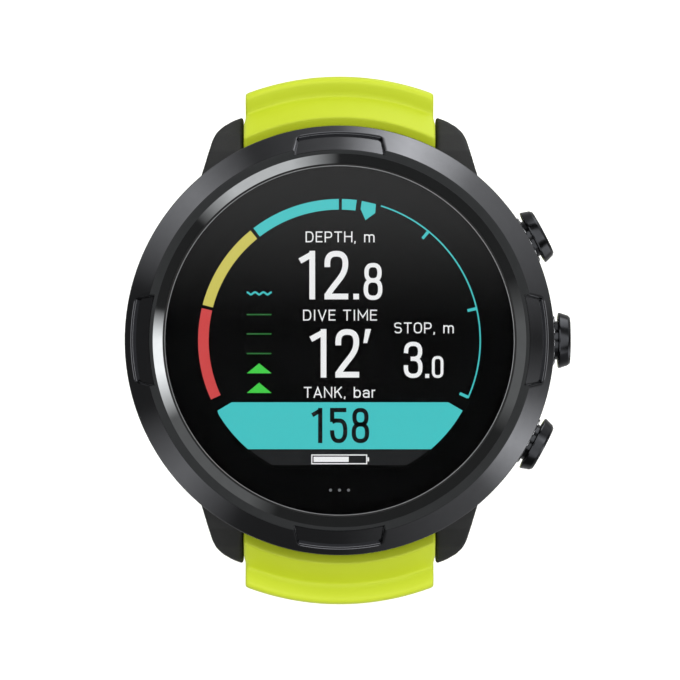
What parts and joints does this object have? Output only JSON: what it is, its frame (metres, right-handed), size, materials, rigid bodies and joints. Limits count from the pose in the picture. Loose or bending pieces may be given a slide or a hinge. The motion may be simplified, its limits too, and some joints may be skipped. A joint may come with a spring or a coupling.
{
  "type": "dive computer",
  "caption": "Round wrist dive computer: steel bezel over a moulded case with a colour display, side push buttons, and a two-part silicone strap with a pin buckle.",
  "frame": {"origin": "centre of the flat case back, on the dial's axis", "axes": "+Z out of the crystal, +Y to twelve o'clock and the buckle half of the strap, +X to the buttons"},
  "size_m": [0.0553, 0.0658, 0.0845],
  "materials": {
    "case_polymer": "matte moulded",
    "bezel_steel": "satin, dark coated, with a polished inner chamfer",
    "button_steel": "polished, dark coated",
    "bushing_steel": "turned",
    "crystal_glass": "polished",
    "seal_rubber": "matt",
    "mask_black": "printed black",
    "panel_glass": "glossy display",
    "light_guide": "frosted white",
    "frame_plastic": "matt moulded",
    "antenna_brass": "plain",
    "chassis_aluminium": "milled",
    "flex_film": "film",
    "board_green": "solder mask",
    "chip_black": "moulded",
    "shield_tin": "plain tinned",
    "switch_metal": "stamped",
    "cell_can": "foil",
    "motor_steel": "drawn can",
    "weight_metal": "sintered",
    "buzzer_brass": "plain",
    "ferrite": "sintered",
    "copper_wire": "enamelled",
    "sensor_steel": "turned",
    "contact_plastic": "moulded",
    "contact_gold": "plated",
    "back_steel": "circular brushed",
    "screw_steel": "turned",
    "spring_steel": "drawn wire",
    "strap_silicone": "satin silicone, lime",
    "bar_steel": "turned",
    "buckle_steel": "satin, dark coated"
  },
  "bodies": {
    "case": {"case_body": "case_polymer", "bezel": "bezel_steel", "bezel_gasket": "seal_rubber", "crystal": "crystal_glass", "crystal_gasket": "seal_rubber", "display_mask": "mask_black", "display_panel": "panel_glass", "backlight": "light_guide", "display_frame": "frame_plastic", "antenna_ring": "antenna_brass", "chassis_plate": "chassis_aluminium", "display_flex": "flex_film", "main_board": "board_green", "board_chips": "chip_black", "shield_can": "shield_tin", "side_switches": "switch_metal", "battery_carrier": "frame_plastic", "battery": "cell_can", "vibration_motor": "motor_steel", "buzzer_disc": "buzzer_brass", "receiver_core": "ferrite", "receiver_winding": "copper_wire", "pressure_sensor": "sensor_steel", "sensor_seal": "seal_rubber", "sensor_port_cover": "sensor_steel", "contact_block": "contact_plastic", "charging_contacts": "contact_gold", "back_cover": "back_steel", "back_gasket": "seal_rubber", "back_screws": "screw_steel", "button_bushings": "bushing_steel", "button_spring_upper": "spring_steel", "button_spring_middle": "spring_steel", "button_spring_lower": "spring_steel"},
    "weight": {"vibration_weight": "weight_metal"},
    "upper_button": {"button_upper": "button_steel", "button_seal_upper": "seal_rubber", "button_clip_upper": "screw_steel"},
    "middle_button": {"button_middle": "button_steel", "button_seal_middle": "seal_rubber", "button_clip_middle": "screw_steel"},
    "lower_button": {"button_lower": "button_steel", "button_seal_lower": "seal_rubber", "button_clip_lower": "screw_steel"},
    "short_strap": {"strap_short": "strap_silicone", "strap_bar_short": "bar_steel", "release_spring_short": "spring_steel", "buckle_bar": "bar_steel", "keeper_fixed": "strap_silicone"},
    "short_release": {"release_pin_short": "bar_steel"},
    "buckle": {"buckle_frame": "buckle_steel"},
    "tongue": {"buckle_tongue": "buckle_steel"},
    "loose_keeper": {"keeper_free": "strap_silicone"},
    "long_strap": {"strap_long": "strap_silicone", "strap_bar_long": "bar_steel", "release_spring_long": "spring_steel"},
    "long_release": {"release_pin_long": "bar_steel"}
  },
  "joints": [
    {"name": "upper_button_press", "type": "slide", "parent": "case", "child": "upper_button", "axis": [-0.8829, -0.4695, 0], "range_m": [0, 0.00075], "stiffness_N_per_m": 1500, "springref_m": -0.0005, "deforming": ["button_spring_upper"]},
    {"name": "middle_button_press", "type": "slide", "parent": "case", "child": "middle_button", "axis": [-1, 0, 0], "range_m": [0, 0.00075], "stiffness_N_per_m": 1500, "springref_m": -0.0005, "deforming": ["button_spring_middle"]},
    {"name": "lower_button_press", "type": "slide", "parent": "case", "child": "lower_button", "axis": [-0.8829, 0.4695, 0], "range_m": [0, 0.00075], "stiffness_N_per_m": 1500, "springref_m": -0.0005, "deforming": ["button_spring_lower"]},
    {"name": "weight_spin", "type": "hinge", "parent": "case", "child": "weight", "pos_m": [0.005, -0.014, 0.0044], "axis": [1, 0, 0], "continuous": true},
    {"name": "short_strap_swing", "type": "hinge", "parent": "case", "child": "short_strap", "pos_m": [0, 0.0254, 0.0036], "axis": [1, 0, 0], "range_deg": [0, 9]},
    {"name": "long_strap_swing", "type": "hinge", "parent": "case", "child": "long_strap", "pos_m": [0, -0.0254, 0.0036], "axis": [-1, 0, 0], "range_deg": [0, 9]},
    {"name": "short_strap_release", "type": "slide", "parent": "short_strap", "child": "short_release", "axis": [-1, 0, 0], "range_m": [0, 0.0019], "stiffness_N_per_m": 500, "springref_m": -0.001, "deforming": ["release_spring_short"]},
    {"name": "long_strap_release", "type": "slide", "parent": "long_strap", "child": "long_release", "axis": [-1, 0, 0], "range_m": [0, 0.0019], "stiffness_N_per_m": 500, "springref_m": -0.001, "deforming": ["release_spring_long"]},
    {"name": "buckle_swing", "type": "hinge", "parent": "short_strap", "child": "buckle", "pos_m": [0, 0.00611, -0.04676], "axis": [1, 0, 0], "range_deg": [-60, 15]},
    {"name": "tongue_swing", "type": "hinge", "parent": "buckle", "child": "tongue", "pos_m": [0, 0.00611, -0.04676], "axis": [1, 0, 0], "range_deg": [0, 45]},
    {"name": "keeper_slide", "type": "hinge", "parent": "short_strap", "child": "loose_keeper", "pos_m": [0, 0, -0.018], "axis": [1, 0, 0], "range_deg": [-3, 22]}
  ]
}
